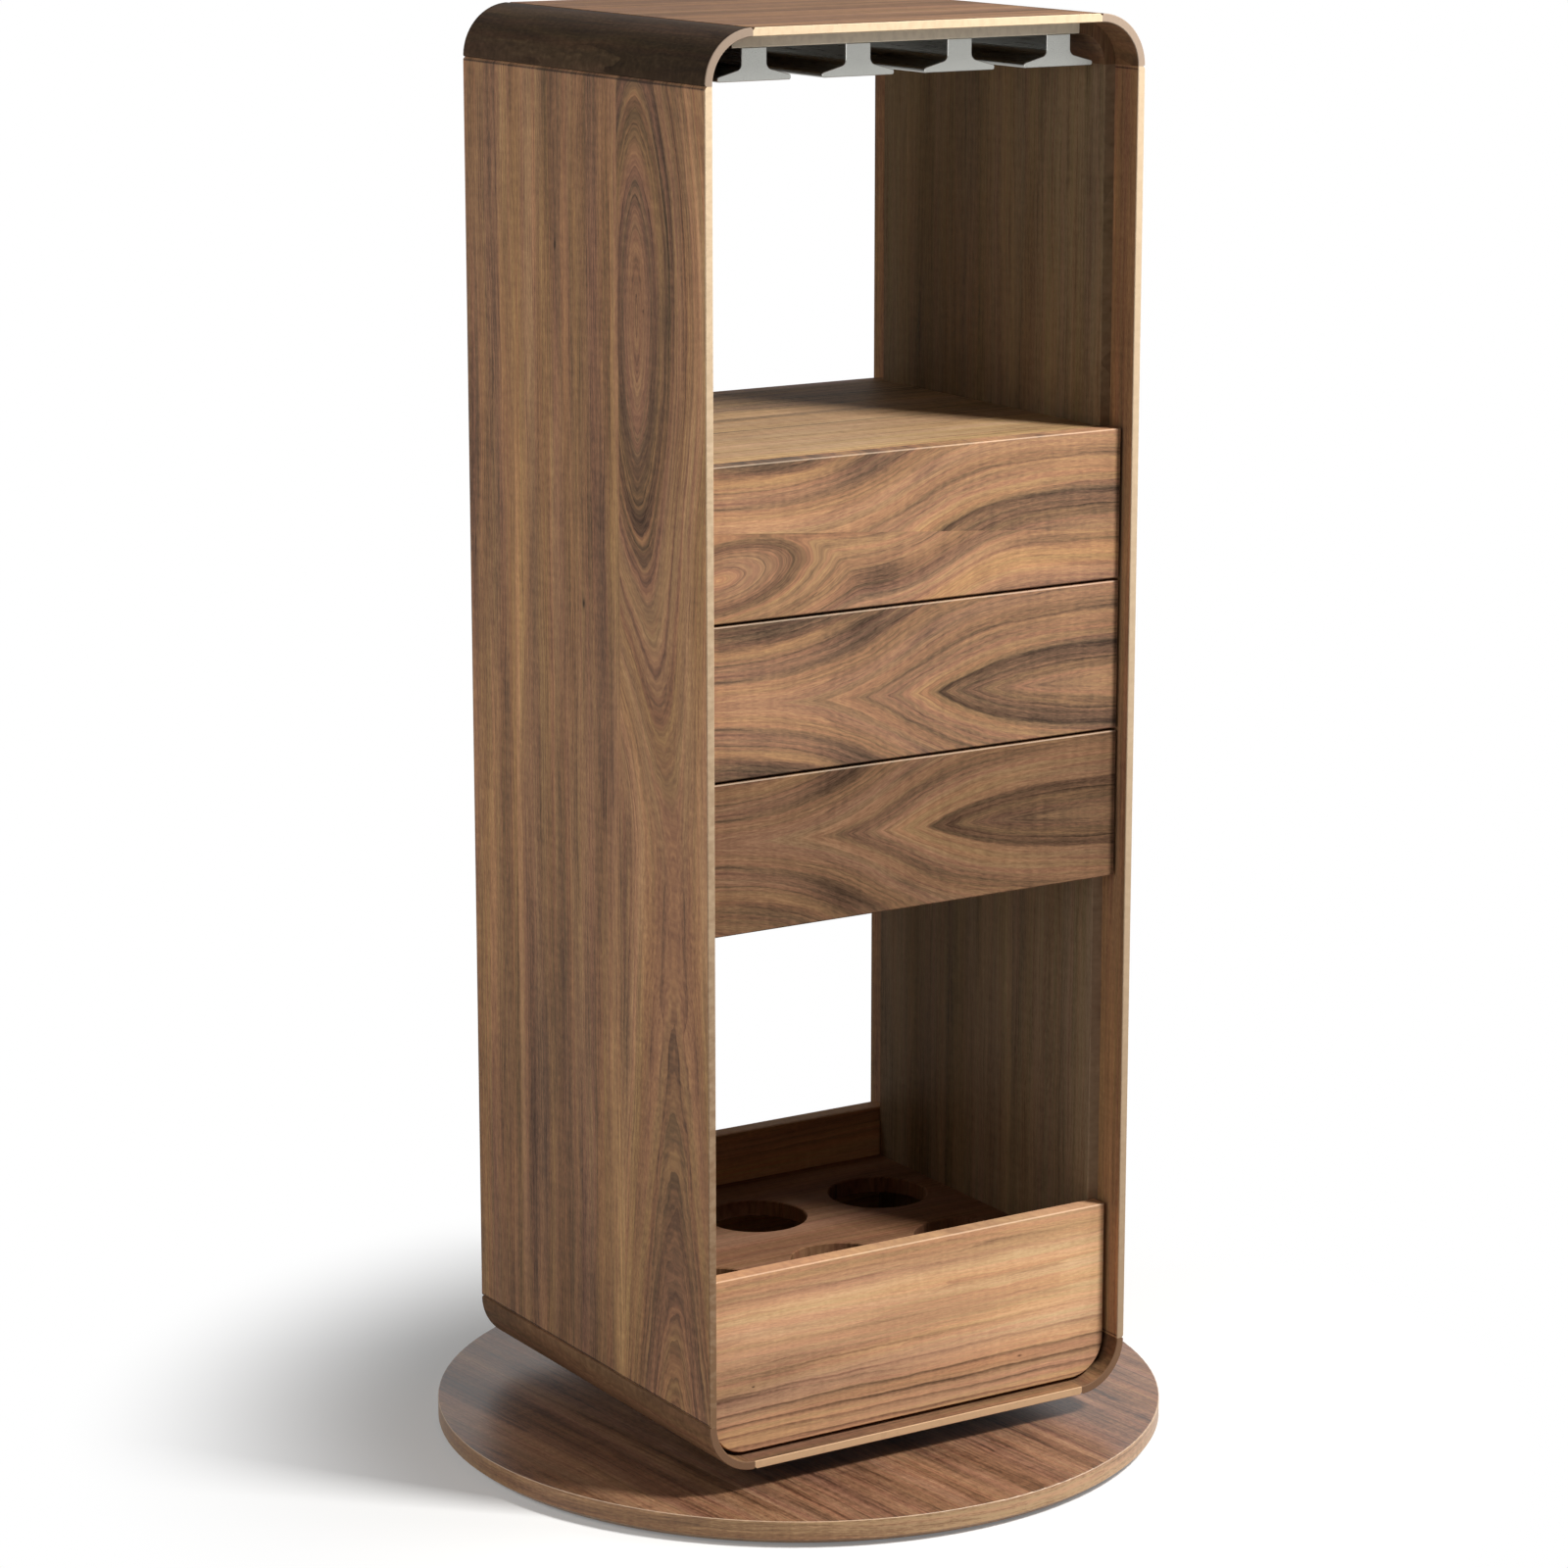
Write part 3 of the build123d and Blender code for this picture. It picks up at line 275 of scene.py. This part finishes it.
def walnut(name, axes, palette=WALNUT, figure=plain_figure, profile=(), patches=(), knots=(), joints=(),
           turn=0.0, band=0.0, ring=6.0, wave=3.0, contrast=1.0, tone=0.5, lip=None, lip_from=0.0, arris=0.0,
           gloss=0.04, rough=0.55, seed=0.0):
    """Walnut under matt lacquer: the pores stay open and break the sheen, so the eye sees wood, not a film.

    axes: the object axes along, across and through the board. turn: swings them about the vertical.
    profile: places across the rings, with their tones.
    patches: soft dark spots, each (place along, place across the rings, both half lengths, darkness).
    knots: each (place along, place across, radius). joints: places across where two leaves of veneer meet.
    band: the radius of a disc's edge, with veneer bent round it.
    ring: from line to line. wave: how far the rings wander. tone and contrast: of the whole pattern.
    lip: the colours of lipped edges at the foot and the head. lip_from: how far out the lipped edges start.
    arris: how pale the upward arrises are, as sanded wood with a painted highlight. gloss: the specular
    level. seed: which part of the log the wood is from.
    Joints, band and lip_from are in metres, as the frame is, and all other sizes in millimetres."""
    material, tree = new_material(name)
    source = add(tree, "ShaderNodeTexCoord")
    place = add(tree, "ShaderNodeMapping", {"Vector": source.outputs["Object"], "Rotation": (0.0, 0.0, turn)})
    split = add(tree, "ShaderNodeSeparateXYZ", (place,))
    facing = add(tree, "ShaderNodeSeparateXYZ", (source.outputs["Normal"],))
    along, across, through = [split.outputs[axis] for axis in axes]
    if band:
        edge, along, across = bent_strip(tree, split, facing, along, across, band)

    # Leaves of veneer, each cut from another place of the log
    depth = add(tree, "ShaderNodeMath", (through, seed), operation="ADD")
    for joint in joints:
        past = add(tree, "ShaderNodeMath", (across, joint), operation="GREATER_THAN")
        depth = add(tree, "ShaderNodeMath", (past, LEAF_STEP, depth), operation="MULTIPLY_ADD")
    raw = add(tree, "ShaderNodeCombineXYZ", (along, across, depth))

    # Pin knots push the rings aside
    spots = []
    for place_along, place_across, radius in knots:
        centre = (place_along, place_across)
        near = bell(tree, raw, centre, (KNOT_REACH * radius, radius))
        aside = add(tree, "ShaderNodeMath", (across, place_across * MM), operation="SUBTRACT")
        aside = add(tree, "ShaderNodeMath", (aside, near), operation="MULTIPLY")
        across = add(tree, "ShaderNodeMath", (aside, -KNOT_PUSH, across), operation="MULTIPLY_ADD")
        spots.append(bell(tree, raw, centre, (radius, KNOT_FLATNESS * radius)))

    # Growth rings, made wavy
    rings = figure(tree, along, across)
    for lengths, share, detail in WAVES:
        reach = wave * share / 2 * MM
        waviness = noise(tree, raw, lengths, detail)
        waviness = add(tree, "ShaderNodeMapRange", (waviness, 0.0, 1.0, -reach, reach))
        rings = add(tree, "ShaderNodeMath", (rings, waviness), operation="ADD")
    point = add(tree, "ShaderNodeCombineXYZ", (along, rings, depth))

    # The tone across the rings, as a level from 0, the darkest, to 1
    level = tone
    if profile:
        low, high = profile[0][0], profile[-1][0]
        level = add(tree, "ShaderNodeMapRange", (rings, low * MM, high * MM))
        stops = [((at - low) / (high - low), [value, value, value, 1.0]) for at, value in profile]
        level = add(tree, "ShaderNodeValToRGB", (level,), stops)
        level = add(tree, "ShaderNodeMath", (level, tone - 0.5), operation="ADD")

    # Broad zones, fine fibres, pores, and a ripple across the grain, each with its share of the contrast
    zone = noise(tree, point, ZONE)
    fibre = noise(tree, point, FIBRE, 3.0, 0.7)
    pore = noise(tree, point, PORE)
    layers = ((noise(tree, point, BROAD, 1.0), BROAD_SHARE), (zone, ZONE_SHARE), (fibre, FIBRE_SHARE),
              (noise(tree, raw, RIPPLE), RIPPLE_SHARE), (pore, PORE_SHARE))
    for layer, share in layers:
        reach = share / 2 * contrast
        part = add(tree, "ShaderNodeMapRange", (layer, NOISE_LOW, NOISE_HIGH, -reach, reach))
        level = add(tree, "ShaderNodeMath", (level, part), operation="ADD")

    # Each ring darkens slowly and ends in a thin line, stronger in some places than in others
    count = add(tree, "ShaderNodeMath", (rings, 1 / (ring * MM)), operation="MULTIPLY")
    count = add(tree, "ShaderNodeMath", (zone, LINE_SHIFT, count), operation="MULTIPLY_ADD")
    saw = add(tree, "ShaderNodeMath", (count,), operation="FRACT")
    line = add(tree, "ShaderNodeMath", (saw, LINE_SHARPNESS), operation="POWER")
    strength = noise(tree, point, LINE_STRENGTH)
    span = (0.42, 0.68, LINE_FAINT * contrast, LINE_DARK * contrast)
    strength = add(tree, "ShaderNodeMapRange", (strength, *span))
    line = add(tree, "ShaderNodeMath", (line, strength), operation="MULTIPLY")
    level = add(tree, "ShaderNodeMath", (level, line), operation="SUBTRACT")

    for place_along, place_ring, half_along, half_ring, dark in patches:
        patch = bell(tree, point, (place_along, place_ring), (half_along, half_ring))
        level = add(tree, "ShaderNodeMath", (patch, -dark, level), operation="MULTIPLY_ADD")
    for spot in spots:
        level = add(tree, "ShaderNodeMath", (spot, -KNOT_DARK, level), operation="MULTIPLY_ADD")
    if band:
        level = add(tree, "ShaderNodeMath", (edge, STRIP_PALER, level), operation="MULTIPLY_ADD")
    stops = [(k / (len(palette) - 1), linear(code)) for k, code in enumerate(palette)]
    colour = add(tree, "ShaderNodeValToRGB", (level,), stops)

    for lengths, first, second in HUES:
        drift = noise(tree, point, lengths, 1.0)
        drift = add(tree, "ShaderNodeMapRange", (drift, 0.35, 0.65))
        tint = add(tree, "ShaderNodeMix", {"Factor": drift, "A": first, "B": second}, **COLOUR_MIX)
        colour = add(tree, "ShaderNodeMix", {"Factor": 1.0, "A": colour, "B": tint}, **COLOUR_PRODUCT)
    if band:
        golden = {"Factor": edge, "A": (1.0, 1.0, 1.0, 1.0), "B": STRIP_TINT}
        tint = add(tree, "ShaderNodeMix", golden, **COLOUR_MIX)
        colour = add(tree, "ShaderNodeMix", {"Factor": 1.0, "A": colour, "B": tint}, **COLOUR_PRODUCT)
    if lip:
        colour = lipping(tree, split, facing, colour, pore, lip, lip_from)
    if arris:
        colour = sanded_arris_and_highlight(tree, facing, colour, arris)

    span = (0.2, 0.8, rough - ROUGHNESS_DRIFT, rough + ROUGHNESS_DRIFT)
    sheen = add(tree, "ShaderNodeMapRange", (fibre, *span))
    bump = add(tree, "ShaderNodeBump", {"Height": pore, "Strength": 0.15, "Distance": RELIEF})
    surface = {"Base Color": colour, "Roughness": sheen, "Normal": bump, "Specular IOR Level": gloss}
    shader = add(tree, "ShaderNodeBsdfPrincipled", surface)
    add(tree, "ShaderNodeOutputMaterial", (shader,))
    return material


def metal(name, colour, roughness, marks):
    """Bare metal. Its marks, with their sizes in mm, break up the roughness and the highlight."""
    material, tree = new_material(name)
    place = add(tree, "ShaderNodeTexCoord").outputs["Object"]
    marked = noise(tree, place, marks, 3.0)
    span = (0.3, 0.7, roughness - ROUGHNESS_DRIFT, roughness + ROUGHNESS_DRIFT)
    rough = add(tree, "ShaderNodeMapRange", (marked, *span))
    bump = add(tree, "ShaderNodeBump", {"Height": marked, "Strength": 0.1, "Distance": RELIEF})
    surface = {"Base Color": linear(colour), "Metallic": 1.0, "Roughness": rough, "Normal": bump}
    shader = add(tree, "ShaderNodeBsdfPrincipled", surface)
    add(tree, "ShaderNodeOutputMaterial", (shader,))
    return material


def plastic(name, colour, roughness, grain):
    """Moulded plastic whose grain has this size in mm."""
    material, tree = new_material(name)
    place = add(tree, "ShaderNodeTexCoord").outputs["Object"]
    grained = noise(tree, place, (grain, grain, grain))
    bump = add(tree, "ShaderNodeBump", {"Height": grained, "Strength": 0.2, "Distance": RELIEF})
    surface = {"Base Color": linear(colour), "Roughness": roughness, "Normal": bump}
    shader = add(tree, "ShaderNodeBsdfPrincipled", surface)
    add(tree, "ShaderNodeOutputMaterial", (shader,))
    return material


# The object axes along, across and through a board
ALONG_X, ALONG_Y, ALONG_Z = ("X", "Y", "Z"), ("Y", "X", "Z"), ("Z", "Y", "X")
FRONT_X = ("X", "Z", "Y")

# The shell's lipping is solid wood in the same lacquer: plainer than the veneer, and a thin pale outline
LIP = ("#7f6249", "#d6bd9c")

# A corner is lipped on its outer ends only, not on the thick part that is set back
CORNER_LIP_DEPTH = 0.02
corner_lip_from = side_high.y - CORNER_LIP_DEPTH

# A thin dark line near each end of a side panel, just inside the V-joint
DARK_LINE_INSET, DARK_LINE_HALF_WIDTH, ALL_RINGS, DARK_LINE_DARKNESS = 2.4, 0.7, 9999.0, 0.5
dark_line_heights = (side_low.z / MM + DARK_LINE_INSET, side_high.z / MM - DARK_LINE_INSET)
dark_end_lines = tuple((height, 0.0, DARK_LINE_HALF_WIDTH, ALL_RINGS, DARK_LINE_DARKNESS) for height in dark_line_heights)

# Left side, flat-cut veneer: ovals in the front leaf, then stripes of straight grain to the rear
SIDE_PROFILE = (
    (0, 0.54), (7, 0.49), (9, 0.42), (11, 0.53), (17, 0.49), (21, 0.43), (27, 0.46), (33, 0.35), (35, 0.46),
    (42, 0.52), (49, 0.32), (51, 0.58), (56, 0.34), (58, 0.6), (63, 0.34), (66, 0.62), (80, 0.58), (82, 0.32),
    (84, 0.6), (92, 0.4), (94, 0.62), (103, 0.48), (105, 0.66), (115, 0.64), (150, 0.6), (162, 0.66),
    (169, 0.72), (178, 0.5), (216, 0.56), (270, 0.48), (310, 0.58), (374, 0.6))
SIDE_PATCHES = ((180, 60, 160, 60, 0.12), (350, 324, 300, 12, 0.1), (140, 374, 200, 70, 0.08),
                (650, 374, 220, 60, -0.07))
SIDE_KNOTS = ((800, 0, 4), (1113, 45, 3), (1070, -107, 1.5))
SIDE_JOINTS = (-0.064, 0.126)
side_figure = cathedral_figure(joint=SIDE_JOINTS[0], eye=1.06, saddle=0.585, rise=0.105)
side_veneer = walnut("walnut_side_veneer", ALONG_Z, figure=side_figure, profile=SIDE_PROFILE,
                     patches=SIDE_PATCHES + dark_end_lines, knots=SIDE_KNOTS, joints=SIDE_JOINTS, ring=4.4,
                     contrast=1.2, lip=LIP)

# The other faces of the shell: quarter-cut veneer, with straight and quiet lines
top_veneer = walnut("walnut_top_veneer", ALONG_X, palette=BROWN_WALNUT, joints=(-0.07, 0.08), lip=LIP,
                    gloss=0.03, rough=0.6, seed=3.1)
right_veneer = walnut("walnut_right_veneer", ALONG_Z, patches=dark_end_lines, joints=(-0.08, 0.06),
                      lip=("#a68d72", "#c7b092"), tone=0.62, seed=8.8)
low_panel = walnut("walnut_low_panel", ALONG_X, palette=BROWN_WALNUT, lip=("#c9a580", "#2a1c10"), seed=2.3)

# Solid quarter rounds. The top left one is nearly black, with a duller sheen than the veneer
dark_corner = walnut("walnut_corner_dark", ALONG_Y, palette=DARK_WALNUT, lip=("#85786d", "#978473"),
                     lip_from=corner_lip_from, ring=15.0, contrast=1.2, gloss=0.02)
right_corner = walnut("walnut_corner_right", ALONG_Y, palette=BROWN_WALNUT, lip=("#85786d", "#a08c7a"),
                      lip_from=corner_lip_from, seed=1.9)
low_corner = walnut("walnut_corner_low", ALONG_Y, palette=BROWN_WALNUT, lip=("#7a5d47", "#937f6d"),
                    lip_from=corner_lip_from)

# The inner ring: veneer with an olive cast and little contrast, so that it stays in the background
inner_side = walnut("walnut_inner_side", ALONG_Z, palette=OLIVE_WALNUT, joints=(-0.05, 0.06), contrast=0.8,
                    tone=0.56, seed=5.7)
# The front edges are paler towards the head: the inner top's front edge, which the shell's overhang shades,
# is painted nearly white, partly its paler lipping and partly painted light
inner_level = walnut("walnut_inner_level", ALONG_X, palette=OLIVE_WALNUT, lip=("#927c66", "#fbeed6"),
                     seed=7.9)

# The shelf above the drawers: golden veneer with a few dark lines, counted from the middle to the rear
SHELF_PROFILE = (
    (-200, 0.46), (-178, 0.44), (-176, 0.2), (-174, 0.56), (-166, 0.66), (-163, 0.34), (-160, 0.62),
    (-100, 0.56), (-34, 0.5), (-31, 0.1), (-29, 0.58), (30, 0.52), (32, 0.3), (34, 0.54), (118, 0.46),
    (120, 0.2), (122, 0.5), (200, 0.46))
shelf_veneer = walnut("walnut_shelf", ALONG_X, palette=GOLDEN_WALNUT, profile=SHELF_PROFILE,
                      joints=(-0.03, 0.12), wave=1.5, contrast=1.3, tone=0.48, gloss=0.03, rough=0.6,
                      seed=9.3)

# Drawer fronts, crown-cut veneer: bold flames between dark and pale bands, with paler sanded wood and a
# painted highlight on their upper arrises. Rings below 0 lie on the right, round the dark point, and rings
# above 0 lie on the left
FLAME_PROFILE = (
    (-100, 0.6), (-92, 0.64), (-90, 0.76), (-88, 0.64), (-80, 0.66), (-77, 0.68), (-75, 0.54), (-66, 0.48),
    (-64, 0.36), (-57, 0.28), (-53, 0.18), (-51, 0.5), (-44, 0.64), (-36, 0.6), (-25, 0.64), (-23, 0.46),
    (-20, 0.54), (-4, 0.52), (6, 0.6), (14, 0.62), (18, 0.5), (24, 0.6), (32, 0.52), (38, 0.58), (44, 0.42),
    (52, 0.5), (60, 0.42), (90, 0.46))
FLAME_AND_EYE_PROFILE = (
    (-100, 0.56), (-80, 0.56), (-75, 0.44), (-57, 0.3), (-53, 0.18), (-51, 0.48), (-44, 0.64), (-25, 0.64),
    (-23, 0.46), (-20, 0.54), (6, 0.6), (18, 0.5), (24, 0.6), (38, 0.58), (44, 0.42), (60, 0.44), (90, 0.46),
    (120, 0.5), (150, 0.58), (174, 0.54), (176, 0.42), (180, 0.5), (187, 0.54), (189, 0.36), (195, 0.46),
    (202, 0.56), (244, 0.56), (248, 0.46), (254, 0.38), (259, 0.5), (270, 0.54), (300, 0.48))
POINT_PROFILE = (
    (-105, 0.46), (-96, 0.4), (-88, 0.48), (-80, 0.4), (-72, 0.42), (-64, 0.3), (-60, 0.18), (-58, 0.52),
    (-50, 0.62), (-30, 0.54), (-26, 0.4), (-22, 0.52), (0, 0.46), (10, 0.56), (18, 0.46), (26, 0.52),
    (40, 0.42), (52, 0.48), (90, 0.42))
FLAME_PATCHES = ((-55, 30, 34, 12, 0.3), (8, -4, 16, 5, 0.2), (-150, 55, 60, 7, 0.14),
                 (-170, 5, 70, 12, -0.14))
EYE_PATCHES = ((-42, 208, 26, 10, 0.3), (130, 180, 40, 7, 0.2))
POINT_PATCHES = ((-78, 24, 36, 12, 0.28), (-5, -8, 20, 6, 0.16))

# How high the seam between two leaves lies above each front's lower edge, in metres
UPPER_SEAM, MIDDLE_SEAM, LOWER_SEAM = 0.0616, 0.0553, 0.0718
FRONT_FINISH = {"ring": 5.0, "arris": 0.25, "seed": 1.1}
upper_figure = flame_figure(upper_front + UPPER_SEAM, centre=0.0065, tilt=0.08, lower=eye_figure)
middle_figure = flame_figure(middle_front + MIDDLE_SEAM, centre=0.0065)
lower_figure = flame_figure(lower_front + LOWER_SEAM, centre=-0.015)
upper_veneer = walnut("walnut_front_upper", FRONT_X, figure=upper_figure, profile=FLAME_AND_EYE_PROFILE,
                      patches=FLAME_PATCHES + EYE_PATCHES, tone=0.47, **FRONT_FINISH)
middle_veneer = walnut("walnut_front_middle", FRONT_X, figure=middle_figure, profile=FLAME_PROFILE,
                       patches=FLAME_PATCHES, tone=0.39, **FRONT_FINISH)
lower_veneer = walnut("walnut_front_lower", FRONT_X, palette=BROWN_WALNUT, figure=lower_figure,
                      profile=POINT_PROFILE, patches=POINT_PATCHES, tone=0.48, **FRONT_FINISH)

# The tray's front and rear, flat-cut veneer: pale, with dark lines near its foot, counted from the floor
TRAY_PROFILE = (
    (50, 0.5), (60, 0.58), (64, 0.16), (65, 0.6), (73, 0.5), (76, 0.22), (77, 0.6), (84, 0.5), (87, 0.16),
    (88, 0.62), (96, 0.5), (99, 0.2), (100, 0.66), (112, 0.52), (114, 0.34), (115, 0.66), (128, 0.6),
    (130, 0.5), (131, 0.68), (150, 0.66), (153, 0.58), (155, 0.68), (185, 0.68), (196, 0.6), (198, 0.5),
    (200, 0.64), (206, 0.62), (208, 0.5), (210, 0.62), (216, 0.56), (222, 0.6))
TRAY_PATCHES = ((-145, 128, 60, 9, 0.2), (200, 140, 140, 80, -0.24))
TRAY_KNOTS = ((-170, 118, 1.5), (118, 92, 2.5))
# Its upper arrises are paler sanded wood with a painted highlight
tray_veneer = walnut("walnut_tray", FRONT_X, palette=PALE_WALNUT, profile=TRAY_PROFILE, patches=TRAY_PATCHES,
                     knots=TRAY_KNOTS, ring=14.0, contrast=0.8, arris=0.25, seed=2.2)

# The bottle board: reddish veneer, quiet, and duller than the fronts
board_veneer = walnut("walnut_bottle_board", ALONG_X, palette=RED_WALNUT, contrast=0.7, tone=0.57, gloss=0.03,
                      rough=0.6, seed=4.4)

# The round base has a satin lacquer: at a low angle it mirrors the light softly
DISC_JOINTS = (-0.2, -0.05, 0.1, 0.22)
# Its upper arris is paler sanded wood with a painted highlight
disc_veneer = walnut("walnut_disc", ALONG_Y, palette=RED_WALNUT, turn=radians(-5), band=disc_radius,
                     joints=DISC_JOINTS, contrast=1.4, gloss=0.45, rough=0.36, arris=0.35, seed=6.6)

# Sealed maple and bare beech are built as walnut is, but pale, with hardly a figure
maple = walnut("maple_drawer_box", ALONG_Y, palette=MAPLE, contrast=0.6)
beech = walnut("beech_dowels", ALONG_Z, palette=BEECH, contrast=0.6)

# Extruded aluminium, satin anodised: a soft, even shine, stretched along the rail by its drawing marks.
# Rolled steel, zinc plated: cool and a little brighter. Polished balls: small sharp highlights. Real marks
# are finer than 0.1 mm, so these too are drawn as coarse as they need to show
aluminium = metal("aluminium_satin", "#a2a29d", 0.3, marks=(0.6, 60, 0.6))
zinc = metal("steel_zinc_plated", "#b9bcc0", 0.3, marks=(0.8, 20, 0.8))
steel = metal("steel_ball", "#c4c6c8", 0.15, marks=(2, 2, 2))

# Moulded nylon: black with a broad dull sheen. Its grain, really about 0.1 mm, is drawn coarser to show
nylon = plastic("nylon_black", "#1d1d1e", 0.5, grain=1.2)

# Each node gets its own finish, or else the one of its material slot
by_slot = {
    "walnut_panel": side_veneer, "walnut_corner": dark_corner, "walnut_inner": inner_side,
    "walnut_shelf": shelf_veneer, "walnut_front": upper_veneer, "walnut_base": disc_veneer, "maple": maple,
    "beech": beech, "satin_aluminium": aluminium, "zinc_steel": zinc, "ball_steel": steel,
    "black_nylon": nylon}
by_name = {
    "side_panel_right": right_veneer, "top_panel": top_veneer, "bottom_panel": low_panel,
    "corner_top_right": right_corner, "corner_bottom_left": low_corner, "corner_bottom_right": low_corner,
    "inner_top": inner_level, "inner_bottom": inner_level, "drawer_2_front": middle_veneer,
    "drawer_3_front": lower_veneer, "tray_front": tray_veneer, "tray_rear": tray_veneer,
    "bottle_board": board_veneer}
for name, node in nodes.items():
    finish = by_slot[node.data.materials[0].name]
    node.material_slots[0].material = by_name.get(name, finish)


def seen(tree):
    """1 for what the camera sees, straight, mirrored or through glass, and 0 for what lights the object."""
    path = add(tree, "ShaderNodeLightPath")
    direct, mirrored = path.outputs["Is Camera Ray"], path.outputs["Is Glossy Ray"]
    either = add(tree, "ShaderNodeMath", (direct, mirrored), operation="ADD")
    return add(tree, "ShaderNodeMath", (either, path.outputs["Is Transmission Ray"]), operation="ADD")


# Pale floor. It is seen white, apart from the shadow near the object
FLOOR_RADIUS, SHADOW_RADIUS = 14.0, 0.7
SEEN_FLOOR, LIGHTING_FLOOR, SHADOW_GLOW = "#f2f2f0", "#b4b4b3", 0.15
floor_mesh = bpy.data.meshes.new("floor")
shape = bmesh.new()
bmesh.ops.create_circle(shape, cap_ends=True, radius=FLOOR_RADIUS, segments=96)
shape.to_mesh(floor_mesh)
shape.free()
floor = bpy.data.objects.new("floor", floor_mesh)
bpy.context.scene.collection.objects.link(floor)

material, tree = new_material("floor_white")
place = add(tree, "ShaderNodeTexCoord").outputs["Object"]
distance = add(tree, "ShaderNodeVectorMath", (place,), operation="LENGTH")
span = (disc_radius, SHADOW_RADIUS, SHADOW_GLOW, 1.0)
fade = add(tree, "ShaderNodeMapRange", (distance, *span), interpolation_type="SMOOTHSTEP")
shown = seen(tree)
glow = add(tree, "ShaderNodeMath", (shown, fade), operation="MULTIPLY")
colours = {"Factor": shown, "A": linear(LIGHTING_FLOOR), "B": linear(SEEN_FLOOR)}
paint = add(tree, "ShaderNodeMix", colours, **COLOUR_MIX)
matt = add(tree, "ShaderNodeBsdfDiffuse", (paint,))
white = add(tree, "ShaderNodeEmission", {"Strength": 1.0})
both = add(tree, "ShaderNodeMixShader", (glow, matt, white))
add(tree, "ShaderNodeOutputMaterial", (both,))
floor_mesh.materials.append(material)

# The world is white where it is seen, and adds only a little light
WORLD_LIGHT = 0.03
world = bpy.data.worlds.new("studio")
bpy.context.scene.world = world
world.use_nodes = True
tree = world.node_tree
tree.nodes.clear()
strength = add(tree, "ShaderNodeMapRange", {"Value": seen(tree), "To Min": WORLD_LIGHT, "To Max": 1.0})
sky = add(tree, "ShaderNodeBackground", {"Color": (1.0, 1.0, 1.0, 1.0), "Strength": strength})
add(tree, "ShaderNodeOutputWorld", (sky,))

# Soft studio light, aimed at this height on the cabinet
LIGHT_AIM = 0.75


def softbox(name, azimuth, elevation, distance, size, power):
    """A square area lamp that looks at the middle of the cabinet. Azimuth 0 is straight in front."""
    lamp = bpy.data.lights.new(name, "AREA")
    lamp.energy = power
    lamp.size = size
    holder = bpy.data.objects.new(name, lamp)
    a, e = radians(azimuth), radians(elevation)
    away = Vector((sin(a) * cos(e), -cos(a) * cos(e), sin(e)))
    holder.location = Vector((0.0, 0.0, LIGHT_AIM)) + away * distance
    holder.rotation_euler = away.to_track_quat("Z", "Y").to_euler()
    bpy.context.scene.collection.objects.link(holder)


softbox("key", azimuth=34, elevation=44, distance=3.35, size=0.5, power=165)
softbox("right", azimuth=62, elevation=22, distance=3.5, size=1.6, power=40)
softbox("side", azimuth=-95, elevation=20, distance=2.3, size=1.0, power=15)
softbox("front", azimuth=-65, elevation=8, distance=3.0, size=1.5, power=15)

# Camera at the photograph's view: at eye level, left of the cabinet, and looking down at it
CAMERA_PLACE, CAMERA_DOWN, CAMERA_RIGHT = (-2.221, -3.513, 1.5615), 12.909, 32.114
SENSOR_WIDTH, FOCAL_LENGTH = 36.0, 106.67
camera = bpy.data.objects.new("camera", bpy.data.cameras.new("camera"))
bpy.context.scene.collection.objects.link(camera)
camera.location = CAMERA_PLACE
camera.rotation_euler = Euler((radians(90 - CAMERA_DOWN), 0.0, radians(-CAMERA_RIGHT)))
camera.data.sensor_width = SENSOR_WIDTH
camera.data.lens = FOCAL_LENGTH
bpy.context.scene.camera = camera
bpy.context.scene.view_settings.view_transform = "Standard"
